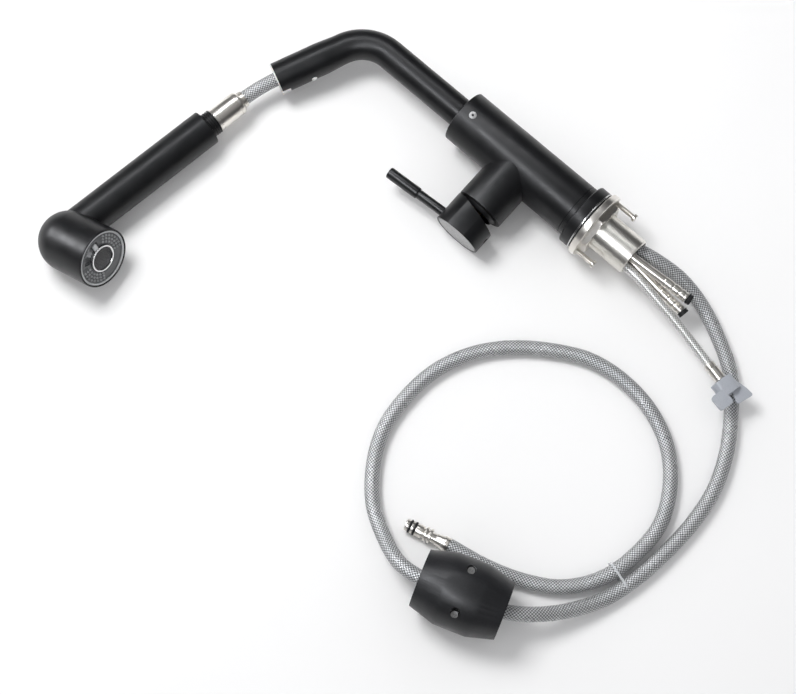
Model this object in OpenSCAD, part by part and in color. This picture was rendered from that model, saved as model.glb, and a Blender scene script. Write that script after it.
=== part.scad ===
// Pull-out kitchen mixer tap, lying on a table. Millimetres.
// +X runs up the body from the deck, +Y to the side of the handle, +Z away from the table.
// The origin is the centre of the body's foot, where it meets the deck.

/* [Body] */
// Diameter of the body
body_d = 45; // [44:0.5:46]
// Height of the body above the deck
body_h = 134; // [130:1:150]
// Diameter of the ring at the foot
ring_d = 53.4; // [50:0.2:56]
// Height of the ring at the foot
ring_h = 9; // [7:0.5:12]
// Turn of the lying tap about its body, until the handle touches the table
roll = 6.1; // [5.5:0.1:6.5]

/* [Spout] */
// Diameter of the spout in the body and in its bend
spout_d = 25; // [24.6:0.1:25.2]
// Diameter of the wider end that holds the spray
mouth_d = 26.8; // [26.6:0.1:27.4]
// Distance from the deck to the corner of the spout's centre line
corner_x = 238; // [220:1:260]
// Angle that the spout turns through
turn = 66.4; // [60:0.2:70]
// Distance from that corner to the open end
leg = 84; // [80:1:95]
// Radius of the bend on its centre line
bend_r = 36; // [32:1:38]
// Wall of the spout's tube
spout_wall = 0.8; // [0.7:0.1:0.8]

/* [Handle] */
// Distance from the deck to the axis of the handle
barrel_x = 72; // [68:1:74]
// Diameter of the side barrel and of the handle's cap
barrel_d = 41.6; // [41.2:0.2:42]
// Distance from the body's axis to the rim of the barrel
barrel_l = 50.5; // [50.5:0.1:50.9]
// Distance from the body's axis to the end of the cap
cap_end = 78.3; // [78:0.1:80]
// Length of the lever from the handle's axis to its tip
lever_l = 76; // [60:1:90]
// Diameter of the lever's grip
grip_d = 9.6; // [9:0.2:11]

/* [Spray] */
// Diameter of the spray's handle
spray_d = 30; // [28.5:0.5:31]
// Length of the handle, from its end to the middle of the ball
spray_l = 145.5; // [138:0.5:150]
// Diameter of the ball and of the spray face's housing
head_d = 49.4; // [49:0.2:51]
// Distance from the middle of the ball to the spray face
head_l = 38; // [36:1:42]
// Diameter of the nut that holds the hose on the spray
hose_nut_d = 19.9; // [19:0.1:20]

/* [Under the deck] */
// Diameter of the threaded shank
shank_d = 32; // [32:1:32]
// Length of the shank below the deck
shank_l = 46.3; // [44:0.1:50]
// Diameter of the mounting nut's flange
flange_d = 58; // [58:1:58]
// Distance between opposite flats of the mounting nut
nut_af = 40; // [38:1:41]
// Diameter of the circle that the two clamp screws stand on
screw_circle_d = 50; // [49.5:0.1:50.5]

/* [Hoses] */
// Diameter of the braided spray hose
hose_d = 12; // [11:0.5:12]
// Diameter of the steel-braided outlet hose
outlet_d = 7.2; // [6:0.2:7.4]
// Diameter of the weight at its ends
weight_end_d = 45; // [42:1:48]
// Diameter of the weight round its middle
weight_mid_d = 57; // [52:1:57]
// Length of the weight
weight_l = 68; // [60:1:68]

/* [Hidden] */
$fn = 64;

// Colours
matte_black = [0.10, 0.10, 0.11];
soft_black = [0.16, 0.16, 0.17];
satin_grey = [0.62, 0.62, 0.62];
nickel = [0.78, 0.76, 0.72];
brass = [0.78, 0.66, 0.36];
steel = [0.82, 0.82, 0.82];
rubber = [0.06, 0.06, 0.06];
nylon = [0.93, 0.93, 0.92];
braid_grey = [0.55, 0.56, 0.58];
clip_grey = [0.66, 0.69, 0.73];
clear = [0.9, 0.93, 0.95];

// Radii that follow from the diameters
body_r = body_d / 2;
ring_r = ring_d / 2;
barrel_r = barrel_d / 2;
shank_r = shank_d / 2;
hose_r = hose_d / 2;
outlet_r = outlet_d / 2;
spout_r = spout_d / 2;
mouth_r = mouth_d / 2;
spray_r = spray_d / 2;
head_r = head_d / 2;
hose_nut_r = hose_nut_d / 2;
table_z = -flange_d / 2;

// Fits, and the overlap where straight tube meets a bend
press = 0.03;
running = 0.08;
hair = 0.04;
lap = 0.6;

// Inside of the body
foot_h = 10;
chamber_r = 19;
neck_x = 92;
neck_r = 15.2;
groove_x = 13;
shank_bore_r = 14;
grub_x = 123;
grub_r = 3.1;
pin_r = 1.5;

// Cartridge, handle cap and lever
cartridge_y = 12;
cartridge_r = 17.5;
cartridge_top = 46;
pivot_y = 42;
dome_r = 18.4;
cup_r = 13;
stem_w = 7;
cap_bore_r = 18.6;
cap_roof = 62;
rim_lever_side = 51.5;
rim_far_side = 60.5;
lever_y = 69.5;
lever_tilt = 4;
rod_r = 4;
grip_start = 46;

// Spout
tangent = bend_r * tan(turn / 2);
leg_straight = leg - tangent;
sleeve_x = 96;
sleeve_l = 35;
sleeve_r = 14.3;
swage_l = 20;
mouth_bore_r = mouth_r - 0.7;
bush_r = 11.8;
button_depth = 28;
hose_end_depth = 43;

// Handset at rest: the end of its handle, its direction and how far the head has rolled
handle_end = [284.6, 144.7, -8.7];
handset_azimuth = 82.8;
handset_pitch = 0.65;
handset_spin = 112;
head_offset = 7.4;
head_lean = 106;
shell_wall = 2.4;
collar_l = 8;
collar_r = 10.6;
hose_nut_l = 27;
crimp_l = 4;
crimp_r = 7.2;
spindle_r = 6.5;

// Spray face, seen along its axis
face_r = 23.2;
aerator_r = 11.6;
tab_angle = 90;
tab_travel = 50;

// Two tubes and two hoses in the mouth of the shank, as [y, z]
hose_at = [-7.5, -1];
hot_at = [2, 4.7];
cold_at = [2, -4.7];
outlet_at = [9.7, 0];
tube_r = 4.2;
block_x = 50;
exit_x = -44;

// Route of the spray hose, from the shank to the quick plug
spray_route = [
    [-44, -7.5, -1], [-62, -12, -5], [-84, -16, -13], [-109, -13, -20], [-138, -1, -23],
    [-164, 16, -23], [-184, 40, -23], [-201, 67, -23], [-212, 96, -23], [-216, 127, -23],
    [-215, 159, -22.4], [-211, 190, -22.2], [-202, 220, -21], [-185, 248, -13],
    [-168, 267, -4], [-154, 277.4, -0.5], [-122, 289.3, -0.5], [-90, 301.2, -0.5],
    [-70, 303, -5], [-48, 295.5, -16],
    [-24, 282, -22], [-3, 259, -23], [11, 231, -23], [15, 200, -23], [12, 169, -23],
    [0, 140, -23], [-19, 116, -23], [-44, 96, -23], [-72, 81, -23], [-102, 76, -23],
    [-134, 80, -23], [-162, 93, -23], [-184, 115, -23], [-198, 144, -23],
    [-199, 175, -22.4], [-192, 205, -22.2], [-174, 231, -22.8], [-148, 248, -23],
    [-119, 259, -23], [-88, 266, -23]
];
plug_heading = 15.5;

// Route of the outlet hose, from the shank to its ferrule
outlet_route = [
    [-44, 9.7, 0], [-56, 10.4, -0.3], [-70, 12, -1], [-85, 14, -2.5], [-100, 16, -4.5],
    [-115, 18.5, -6.3], [-129, 21.2, -7.8], [-145, 24.9, -9]
];
connector_heading = 168;

// Weight: middle, heading of its axis and half the length of its middle band
weight_at = [-121.5, 289.5, -0.5];
weight_heading = 20.4;
weight_band = 13;
// Place across the axis and seat height of each weight screw
weight_screw_seats = [[-17, 14], [17, 6]];

// Tie round both runs of the hose
tie_at = [-201, 197, -22.2];
tie_heading = 74;

// ---- Shared frames and shapes ----

// The tap as it lies, rolled about its body
module rolled() {
    rotate([-roll, 0, 0]) children();
}

// Local +Z runs along +X from x0, at [y, z]
module along_x(x0, at = [0, 0]) {
    translate([x0, at[0], at[1]]) rotate([0, 90, 0]) children();
}

// Local +Z runs along the handle's axis from y0
module on_barrel(y0) {
    translate([barrel_x, y0, 0]) rotate([-90, 0, 0]) children();
}

// Local +Z runs along the spout's straight end, from the bend outwards; +Y is its underside
module on_leg(z0) {
    rolled()
        translate([corner_x + tangent * cos(turn), tangent * sin(turn), 0])
            rotate([0, 90, turn]) translate([0, 0, z0]) children();
}

// Local +Z runs along the handset's handle towards its head, +X to the side of the spray face
module at_handset(z0) {
    translate(handle_end) rotate([0, 90 - handset_pitch, handset_azimuth])
        rotate([0, 0, handset_spin]) translate([0, 0, z0]) children();
}

// Local +Z runs from the middle of the head's ball out through the spray face
module at_head(z0) {
    at_handset(spray_l) translate([head_offset, 0, 0]) rotate([0, head_lean, 0])
        translate([0, 0, z0]) children();
}

module pipe(h, r_out, r_in) {
    difference() {
        cylinder(h = h, r = r_out);
        translate([0, 0, -1]) cylinder(h = h + 2, r = r_in);
    }
}

// A rod that follows the spout's centre line from x0 to the given length of straight end.
// The straight parts are a hair thicker than the bend and reach a little way into it.
module bent_rod(r, x0, end_l) {
    along_x(x0) cylinder(h = corner_x - tangent - x0 + lap, r = r + hair);
    translate([corner_x - tangent, bend_r, 0]) rotate([0, 0, -90])
        rotate_extrude(angle = turn) translate([bend_r, 0]) circle(r = r);
    translate([corner_x + tangent * cos(turn), tangent * sin(turn), 0])
        rotate([0, 90, turn]) translate([0, 0, -lap]) cylinder(h = end_l + lap, r = r + hair);
}

// ---- Sweeping a round hose along its route ----

function unit(v) = v / norm(v);

// Direction of travel at point i of a route
function heading(route, i) =
    unit(route[min(i + 1, len(route) - 1)] - route[max(i - 1, 0)]);

// Ring of points round point i, square to the route
function ring_points(route, i, r, sides) =
    let (
        along = heading(route, i),
        side = unit(cross(along, [0, 0, 1])),
        up = cross(side, along)
    )
    [for (k = [0 : sides - 1])
        route[i] + r * (cos(360 * k / sides) * side + sin(360 * k / sides) * up)];

module hose(route, r, sides) {
    rings = len(route);
    points = [for (i = [0 : rings - 1]) each ring_points(route, i, r, sides)];
    walls = [for (i = [0 : rings - 2]) for (k = [0 : sides - 1])
        [i * sides + k, i * sides + (k + 1) % sides,
         (i + 1) * sides + (k + 1) % sides, (i + 1) * sides + k]];
    first_end = [for (k = [sides - 1 : -1 : 0]) k];
    last_end = [for (k = [0 : sides - 1]) (rings - 1) * sides + k];
    polyhedron(points = points, faces = concat(walls, [first_end, last_end]), convexity = 6);
}

// Point at share t of a cubic curve with end points a and d and handles b and c
function cubic(a, b, c, d, t) =
    pow(1 - t, 3) * a + 3 * t * pow(1 - t, 2) * b + 3 * t * t * (1 - t) * c + pow(t, 3) * d;

// ---- Body ----

module body_shell() {
    color(matte_black) rolled() difference() {
        union() {
            along_x(0) cylinder(h = body_h - 0.8, r = body_r);
            along_x(body_h - 0.8) cylinder(h = 0.8, r1 = body_r, r2 = body_r - 0.8);
            on_barrel(0) cylinder(h = barrel_l, r = barrel_r);
        }
        along_x(-1) cylinder(h = foot_h + 2, r = shank_r + press);
        along_x(foot_h) cylinder(h = neck_x - foot_h, r = chamber_r);
        along_x(neck_x - 1) cylinder(h = body_h, r = neck_r);
        on_barrel(cartridge_y) cylinder(h = barrel_l, r = cartridge_r + press);
        along_x(groove_x) pipe(0.7, body_r + 1, body_r - 0.5);
        translate([grub_x, 0, 0]) cylinder(h = body_d, r = grub_r + press);
    }
}

module base_ring() {
    color(matte_black) rolled() difference() {
        union() {
            along_x(0) pipe(ring_h - 1, ring_r, body_r + press);
            along_x(ring_h - 1) difference() {
                cylinder(h = 1, r1 = ring_r, r2 = ring_r - 1);
                translate([0, 0, -1]) cylinder(h = 3, r = body_r + press);
            }
        }
        along_x(-1) pipe(2.5, body_r + 2.9, body_r + 0.9);
    }
}

module base_seal() {
    color(rubber) rolled() along_x(0) pipe(1.4, body_r + 2.8, body_r + 1);
}

module spout_grub_screw() {
    color(satin_grey) rolled() translate([grub_x, 0, 0]) difference() {
        union() {
            translate([0, 0, neck_r + 0.6]) cylinder(h = body_r - neck_r - 0.7, r = grub_r);
            translate([0, 0, 13.6]) cylinder(h = 4, r = pin_r);
        }
        translate([0, 0, body_r - 2.4]) cylinder(h = 4, r = 1.5, $fn = 6);
    }
}

// ---- Fixing under the deck ----

module shank() {
    color(nickel) rolled() difference() {
        union() {
            along_x(-shank_l + 1) cylinder(h = shank_l + foot_h - 1, r = shank_r);
            along_x(-shank_l) cylinder(h = 1, r1 = shank_r - 1, r2 = shank_r);
        }
        along_x(-shank_l - 1) cylinder(h = shank_l + foot_h + 2, r = shank_bore_r);
    }
}

module steel_washer() {
    color(steel) rolled() along_x(-1.2) pipe(1.2, 27, shank_r + 0.4);
}

module rubber_washer() {
    color(rubber) rolled() along_x(-2.6) pipe(1.4, 26, shank_r + 0.3);
}

module mounting_nut() {
    color(nickel) rolled() difference() {
        union() {
            along_x(-8.2) cylinder(h = 5.6, r = flange_d / 2);
            along_x(-13.2) cylinder(h = 5.4, r = nut_af / sqrt(3), $fn = 6);
        }
        along_x(-14) cylinder(h = 14, r = shank_r + 0.06);
        for (side = [-1, 1])
            along_x(-14, [side * screw_circle_d / 2, 0]) cylinder(h = 14, r = 2.2);
    }
}

module clamp_screws() {
    color(nickel) rolled() for (side = [-1, 1])
        along_x(-26.8, [side * screw_circle_d / 2, 0]) difference() {
            union() {
                cylinder(h = 2.4, r = 3.2);
                cylinder(h = 24.2, r = 2.15);
            }
            translate([-4, -0.4, -1]) cube([8, 0.8, 2]);
        }
}

// ---- Water ways ----

// Ports between the water block and the cartridge, as distances along Z
ports = [-8, 8];
seal_t = 0.9;

module water_block() {
    color(brass) rolled() difference() {
        intersection() {
            along_x(block_x) cylinder(h = neck_x - block_x, r = chamber_r - press);
            translate([block_x, 1.4, -chamber_r]) cube([60, cartridge_y - 1.4, 2 * chamber_r]);
        }
        for (z = ports) translate([barrel_x, cartridge_y + 1, z]) rotate([90, 0, 0])
            pipe(seal_t + 1 + press, 4 + press, 2.6 - press);
    }
}

// A bright stub with a raised crimp, from the block out through the shank
module inlet_tube(at, tip) {
    route = [
        [block_x, at[0], at[1]], [-30, at[0], at[1]], [-46, at[0], at[1]],
        [-62, at[0] * 0.7 + tip[1] * 0.3, at[1] * 0.7 + tip[2] * 0.3],
        [-80, at[0] * 0.3 + tip[1] * 0.7, at[1] * 0.3 + tip[2] * 0.7], tip
    ];
    color(nickel) hose(route, tube_r, 12);
}

module hot_inlet_tube() {
    inlet_tube(hot_at, [-99, -2, 1]);
}

module cold_inlet_tube() {
    inlet_tube(cold_at, [-102, 6.4, -6.4]);
}

module inlet_seals() {
    color(rubber) {
        hose([[-99, -2, 1], [-102.5, -2.9, 0.4]], tube_r + 0.2, 12);
        hose([[-102, 6.4, -6.4], [-105.5, 6.9, -6.8]], tube_r + 0.2, 12);
    }
}

// ---- Cartridge ----

module cartridge_body() {
    color(nylon) rolled() on_barrel(cartridge_y) difference() {
        cylinder(h = cartridge_top - cartridge_y, r = cartridge_r);
        translate([0, 0, 23]) cylinder(h = 20, r = cup_r);
    }
}

module cartridge_seals() {
    color(rubber) rolled() for (z = ports)
        translate([barrel_x, cartridge_y, z]) rotate([90, 0, 0]) pipe(seal_t, 4, 2.6);
}

module cartridge_nut() {
    color(brass) rolled() on_barrel(cartridge_top)
        pipe(barrel_l - cartridge_top - 0.1, cartridge_r, 14);
}

module dome_trim() {
    color(soft_black) rolled() on_barrel(0) difference() {
        intersection() {
            translate([0, 0, pivot_y]) sphere(r = dome_r);
            translate([0, 0, barrel_l - 0.1]) cylinder(h = 4.1, r = dome_r);
        }
        translate([0, 0, pivot_y]) sphere(r = dome_r - 1.5);
        cylinder(h = 100, r = 13.5);
    }
}

module cartridge_turner() {
    color(nylon) rolled() difference() {
        on_barrel(pivot_y - 6) cylinder(h = 10, r = cup_r - running);
        translate([barrel_x - 6.5, pivot_y - 8, -stem_w / 2 - running])
            cube([13, 16, stem_w + 2 * running]);
        translate([barrel_x, pivot_y, -20]) cylinder(h = 40, r = 1.5 + 0.05);
    }
}

module cartridge_stem() {
    color(brass) rolled() {
        translate([barrel_x - stem_w / 2, pivot_y - 5, -stem_w / 2])
            cube([stem_w, cap_roof + 10 - pivot_y + 5, stem_w]);
        translate([barrel_x, pivot_y, -9]) cylinder(h = 18, r = 1.5);
    }
}

// ---- Handle ----

// Solid that keeps what is outside the cap's slanted rim
module above_rim() {
    rise = rim_far_side - rim_lever_side;
    translate([barrel_x + barrel_r, rim_lever_side, -40])
        rotate([0, 0, -atan(rise / barrel_d)]) translate([-70, 0, 0]) cube([100, 60, 80]);
}

module lever_line(x0) {
    translate([barrel_x, lever_y, 0]) rotate([0, 90, lever_tilt])
        translate([0, 0, x0]) children();
}

module handle_cap() {
    color(matte_black) rolled() difference() {
        intersection() {
            on_barrel(40) cylinder(h = cap_end - 40, r = barrel_r + 0.1);
            above_rim();
            translate([0, 0, -60 + barrel_r - 1.4]) cube([400, 200, 120], center = true);
        }
        on_barrel(30) cylinder(h = cap_roof - 30, r = cap_bore_r);
        on_barrel(cap_end - 0.8) cylinder(h = 2, r = barrel_r - 1.5);
        translate([barrel_x - stem_w / 2 - press, cap_roof - 1, -stem_w / 2 - press])
            cube([stem_w + 2 * press, 11, stem_w + 2 * press]);
        lever_line(9) cylinder(h = 30, r = rod_r + press);
        translate([barrel_x - 30, 67, 0]) rotate([0, 90, 0]) cylinder(h = 26, r = 2.5 + press);
    }
}

module handle_end_plate() {
    color(satin_grey) rolled() on_barrel(cap_end - 0.8)
        cylinder(h = 0.8, r = barrel_r - 1.5 - press);
}

module handle_grub_screw() {
    color(satin_grey) rolled() translate([barrel_x - 19.5, 67, 0]) rotate([0, 90, 0])
        difference() {
            cylinder(h = 15.4, r = 2.5);
            translate([0, 0, -1]) cylinder(h = 3, r = 1.3, $fn = 6);
        }
}

module lever_rod() {
    color(soft_black) rolled() lever_line(9) cylinder(h = grip_start - 9, r = rod_r);
}

module lever_grip() {
    color(soft_black) rolled() lever_line(grip_start) {
        cylinder(h = 1, r1 = rod_r, r2 = grip_d / 2);
        translate([0, 0, 1]) cylinder(h = lever_l - grip_start - 1.6, r = grip_d / 2);
        translate([0, 0, lever_l - grip_start - 0.6])
            cylinder(h = 0.6, r1 = grip_d / 2, r2 = grip_d / 2 - 0.6);
    }
}

// ---- Spout ----

module spout_tube() {
    button_z = leg_straight - 1 - button_depth;
    color(matte_black) difference() {
        union() {
            rolled() bent_rod(spout_r, sleeve_x + 2, 1);
            on_leg(0.8) cylinder(h = swage_l, r1 = spout_r + 0.1, r2 = mouth_r);
            on_leg(swage_l + 0.8) cylinder(h = leg_straight - swage_l - 1.8, r = mouth_r);
        }
        rolled() bent_rod(spout_r - spout_wall, sleeve_x, 1.2);
        on_leg(1) cylinder(h = swage_l, r1 = spout_r - spout_wall + 0.1, r2 = mouth_bore_r);
        on_leg(swage_l + 0.9) cylinder(h = leg_straight, r = mouth_bore_r);
        on_leg(button_z) rotate([-90, 0, 0]) cylinder(h = 30, r = 2.4 + press);
        on_leg(leg_straight - 8) translate([-2.6, 5, 0]) cube([5.2, 20, 10]);
    }
}

// Sleeve on the foot of the spout; the grub screw's pin runs in its half-turn groove
module swivel_sleeve() {
    color(brass) rolled() difference() {
        along_x(sleeve_x) pipe(sleeve_l, sleeve_r, spout_r + hair + press);
        translate([grub_x - 1.8, 0, 0]) rotate([0, 90, 0]) rotate([0, 0, -8])
            rotate_extrude(angle = 196) translate([13.3, 0]) square([3, 3.6]);
    }
}

module glide_rings() {
    color(nylon) rolled() for (x = [sleeve_x + 1, sleeve_x + 31])
        along_x(x) pipe(5, neck_r - running, sleeve_r + press);
}

module spout_bush() {
    mouth_z = leg_straight - 1;
    color(nylon) on_leg(0) {
        translate([0, 0, mouth_z - 14]) pipe(14, mouth_bore_r - press, bush_r);
        translate([0, 0, mouth_z]) pipe(1, mouth_r - 0.2, bush_r);
        translate([0, 0, mouth_z + 1 - button_depth - 4]) intersection() {
            pipe(button_depth - 5, mouth_bore_r - press, bush_r);
            translate([-3, 0, 0]) cube([6, 20, 60]);
        }
        translate([0, 0, mouth_z - button_depth]) rotate([-90, 0, 0]) difference() {
            cylinder(h = mouth_r + 0.4, r = 2.4);
            cylinder(h = mouth_bore_r - 0.5, r = 5);
        }
        translate([-2.5, mouth_bore_r - 0.4, mouth_z - 7]) cube([5, 1.3, 8]);
    }
}

// ---- Hose inside the tap, and between the spout and the spray ----

module hose_in_body() {
    far = [[exit_x, hose_at[0], hose_at[1]], [neck_x - 14, hose_at[0], hose_at[1]]];
    bend = [for (t = [0.15 : 0.17 : 1]) cubic(
        [neck_x - 14, hose_at[0], hose_at[1]], [neck_x, hose_at[0], hose_at[1]],
        [neck_x + 8, 0, 0], [neck_x + 26, 0, 0], t)];
    color(braid_grey) hose(concat(far, bend, [[body_h - 2, 0, 0]]), hose_r - 0.1, 12);
}

module hose_in_spout() {
    color(braid_grey) rolled()
        bent_rod(hose_r - 0.1, body_h - 1.7, leg_straight - hose_end_depth - 0.3);
}

// Unit vectors along the spout's end and along the handset's handle, away from the body
spout_dir = [cos(turn), sin(turn) * cos(roll), -sin(turn) * sin(roll)];
handset_dir = [cos(handset_pitch) * cos(handset_azimuth),
               cos(handset_pitch) * sin(handset_azimuth), sin(handset_pitch)];
mouth_at = [corner_x, 0, 0] + leg * spout_dir;
hose_tip = handle_end - (collar_l + hose_nut_l + crimp_l) * handset_dir;

module flexing_hose() {
    first = mouth_at - hose_end_depth * spout_dir;
    bend = [for (t = [0 : 0.125 : 1])
        cubic(first, first + 32 * spout_dir, hose_tip - 22 * handset_dir, hose_tip, t)];
    color(braid_grey) hose(bend, hose_r - 0.1, 12);
}

module hose_crimp() {
    color(nickel) at_handset(-collar_l - hose_nut_l - crimp_l)
        cylinder(h = crimp_l, r = crimp_r);
}

module hose_nut() {
    color(nickel) at_handset(-collar_l - hose_nut_l) {
        cylinder(h = 2.4, r1 = hose_nut_r - 1.6, r2 = hose_nut_r);
        translate([0, 0, 2.4]) cylinder(h = hose_nut_l - 2.4, r = hose_nut_r);
        cylinder(h = hose_nut_l + collar_l + 10, r = spindle_r);
    }
}

// ---- Handset ----

module spray_shell() {
    color(matte_black) difference() {
        union() {
            at_handset(0) cylinder(h = 1, r1 = spray_r - 1, r2 = spray_r);
            at_handset(1) cylinder(h = spray_l - 1, r = spray_r);
            at_head(0) sphere(r = head_r);
            at_head(0) cylinder(h = head_l - 0.8, r = head_r);
            at_head(head_l - 0.8) cylinder(h = 0.8, r1 = head_r, r2 = head_r - 0.5);
        }
        at_handset(-1) cylinder(h = spray_l + 1, r = spray_r - shell_wall);
        at_head(0) sphere(r = head_r - shell_wall);
        at_head(0) cylinder(h = head_l, r = head_r - shell_wall);
        at_head(head_l - 5) cylinder(h = 6, r = face_r);
    }
}

module spray_collar() {
    color(soft_black) difference() {
        union() {
            at_handset(-collar_l) cylinder(h = collar_l, r = collar_r - 0.5);
            for (z = [-collar_l : 2 : -1]) at_handset(z) cylinder(h = 1.2, r = collar_r);
            at_handset(0) cylinder(h = 12, r = spray_r - shell_wall - press);
        }
        at_handset(-collar_l - 1) cylinder(h = collar_l + 14, r = spindle_r + 0.06);
    }
}

module check_valve() {
    color(nylon) at_handset(12.2) difference() {
        cylinder(h = 18, r = spray_r - shell_wall - press);
        translate([0, 0, -1]) cylinder(h = 10, r = 5);
        translate([0, 0, 11]) cylinder(h = 10, r = 4.5);
    }
}

module water_tube() {
    color(nylon) at_handset(30.2) pipe(102, 6, 4.6);
}

module diverter() {
    color(soft_black) difference() {
        union() {
            at_head(-13) cylinder(h = head_l + 7, r = 13.5);
            at_handset(spray_l - 20) cylinder(h = 16, r = 8.6);
        }
        at_handset(spray_l - 21) cylinder(h = 8, r = 6 + press);
    }
}

module face_ring() {
    color(satin_grey) at_head(head_l - 4.4) pipe(4, face_r - press, 21.6);
}

module face_plate() {
    color(soft_black) difference() {
        at_head(head_l - 5) cylinder(h = 3.6, r = 21.6 - press);
        at_head(head_l - 6) cylinder(h = 8, r = aerator_r + 0.06);
        at_head(head_l - 2.6) rotate([0, 0, tab_angle - 12])
            rotate_extrude(angle = tab_travel + 24) translate([aerator_r - 1, 0]) square([7.4, 3]);
    }
}

// Angles of the two groups of small rubber jets
jet_groups = [[-22, 62], [166, 250]];

module spray_nozzles() {
    color(satin_grey) at_head(head_l - 1.4) for (group = jet_groups)
        for (row = [0 : 2]) for (step = [0 : 5 + row])
            rotate([0, 0, group[0] + (group[1] - group[0]) * (step + 0.5) / (6 + row)])
                translate([14 + 2.7 * row, 0, 0]) cylinder(h = 1, r = 0.75, $fn = 16);
}

module aerator_ring() {
    color(steel) at_head(head_l - 4.8) {
        pipe(5, aerator_r, aerator_r - 1.7);
        cylinder(h = 1, r = aerator_r - 1.2);
    }
}

module mode_tab() {
    color(satin_grey) at_head(head_l - 2.4) rotate([0, 0, tab_angle])
        translate([aerator_r, -2, 0]) cube([5.4, 4, 2]);
}

module aerator_mesh() {
    color(soft_black) at_head(head_l - 1.6) cylinder(h = 0.6, r = aerator_r - 1.7 - press);
}

// ---- Spray hose, weight, tie and plug ----

module spray_hose() {
    color(braid_grey) hose(spray_route, hose_r, 10);
}

module at_weight(z0) {
    translate(weight_at) rotate([0, 0, weight_heading]) rotate([0, 90, 0])
        translate([0, 0, z0]) children();
}

module weight_outline() {
    slope_l = weight_l / 2 - weight_band;
    at_weight(-weight_l / 2) {
        cylinder(h = slope_l, r1 = weight_end_d / 2, r2 = weight_mid_d / 2);
        translate([0, 0, slope_l]) cylinder(h = 2 * weight_band, r = weight_mid_d / 2);
        translate([0, 0, weight_l - slope_l])
            cylinder(h = slope_l, r1 = weight_mid_d / 2, r2 = weight_end_d / 2);
    }
}

// Half of the weight: side is 1 for the upper half and -1 for the lower one
module weight_half(side) {
    color(soft_black) difference() {
        weight_outline();
        at_weight(-weight_l) cylinder(h = 2 * weight_l, r = hose_r + 0.5);
        translate(weight_at + [0, 0, -60 * side]) rotate([0, 0, weight_heading])
            cube([200, 200, 120], center = true);
        for (s = weight_screw_seats)
            translate(weight_at) rotate([0, 0, weight_heading]) {
                translate([0, s[0], -14]) cylinder(h = 60, r = 1.6);
                translate([0, s[0], s[1]]) cylinder(h = 28, r = 3.6);
            }
    }
}

module weight_upper_half() {
    weight_half(1);
}

module weight_lower_half() {
    weight_half(-1);
}

module weight_screws() {
    color(steel) translate(weight_at) rotate([0, 0, weight_heading])
        for (s = weight_screw_seats) translate([0, s[0], s[1]]) difference() {
            union() {
                translate([0, 0, -13.8 - s[1]]) cylinder(h = 14 + s[1], r = 1.55);
                cylinder(h = 2.2, r = 3);
            }
            translate([0, 0, 1]) {
                translate([-2, -0.35, 0]) cube([4, 0.7, 3]);
                translate([-0.35, -2, 0]) cube([0.7, 4, 3]);
            }
        }
}

module hose_tie() {
    color(clear) translate(tie_at) rotate([0, 0, tie_heading]) rotate([0, 90, 0])
        linear_extrude(height = 2, center = true) difference() {
            hull() for (y = [-6.6, 6.6]) translate([0, y]) circle(r = hose_r + 0.8, $fn = 32);
            hull() for (y = [-6.6, 6.6]) translate([0, y]) circle(r = hose_r + 0.4, $fn = 32);
        }
}

module at_plug(z0) {
    translate(spray_route[len(spray_route) - 1]) rotate([0, 90, plug_heading])
        translate([0, 0, z0]) children();
}

module plug_ferrule() {
    color(nickel) at_plug(0) {
        cylinder(h = 5, r = 5.9);
        translate([0, 0, 5]) cylinder(h = 6, r1 = 5.2, r2 = 4.4);
    }
}

// Steps of the plug, as [start, length, radius]
plug_steps = [
    [11, 4, 3.8], [15, 2, 5.9], [17, 1.6, 4.4], [18.6, 2, 5.9], [20.6, 1.4, 4],
    [22, 6, 5.1], [28, 2, 3.9], [30, 2, 5.1], [32, 2, 3.9], [34, 3, 4.7]
];

module quick_plug() {
    color(nickel) difference() {
        union() {
            for (s = plug_steps) at_plug(s[0]) cylinder(h = s[1], r = s[2]);
        }
        at_plug(12) cylinder(h = 40, r = 2.8);
    }
}

module plug_o_rings() {
    color(rubber) for (z = [28, 32]) at_plug(z + 1)
        rotate_extrude() translate([4.8, 0]) circle(r = 0.85);
}

// ---- Outlet hose, connector and clip ----

module outlet_hose() {
    color(steel) hose(outlet_route, outlet_r, 8);
}

module at_connector(z0) {
    translate(outlet_route[len(outlet_route) - 1]) rotate([0, 90, connector_heading])
        translate([0, 0, z0]) children();
}

module outlet_ferrule() {
    color(nickel) at_connector(0) cylinder(h = 4, r = 4.5);
}

module quick_connector() {
    color(nickel) difference() {
        union() {
            at_connector(4) cylinder(h = 0.8, r = 3.4);
            at_connector(4.8) cylinder(h = 10.5, r = 4.7);
            at_connector(15.3) cylinder(h = 10, r = 4.2);
        }
        at_connector(10) cylinder(h = 30, r = 2.6);
    }
}

// Spring clip round the neck of the connector, with a thumb pad and a wing
module connector_clip() {
    color(clip_grey) at_connector(15.8) difference() {
        union() {
            hull() for (y = [-3, 2]) translate([0, y, 0]) cylinder(h = 13, r = 7, $fn = 32);
            // Thumb pad
            hull() for (y = [-14.5, -7], z = [9.5, 17.5])
                translate([-6.5, y, z]) rotate([0, 90, 0]) cylinder(h = 4, r = 2.5, $fn = 32);
            // Wing
            hull() for (p = [[6, 8, 3], [10.3, 17, 1.5], [11, 22.5, 1.5], [0, 21.5, 1.5]])
                translate([-1.5, p[0], p[1]]) rotate([0, 90, 0]) cylinder(h = 2.5, r = p[2], $fn = 32);
        }
        hull() for (y = [0, -2.4]) translate([0, y, -1]) cylinder(h = 11.5, r = 4.55, $fn = 32);
    }
}

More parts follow.
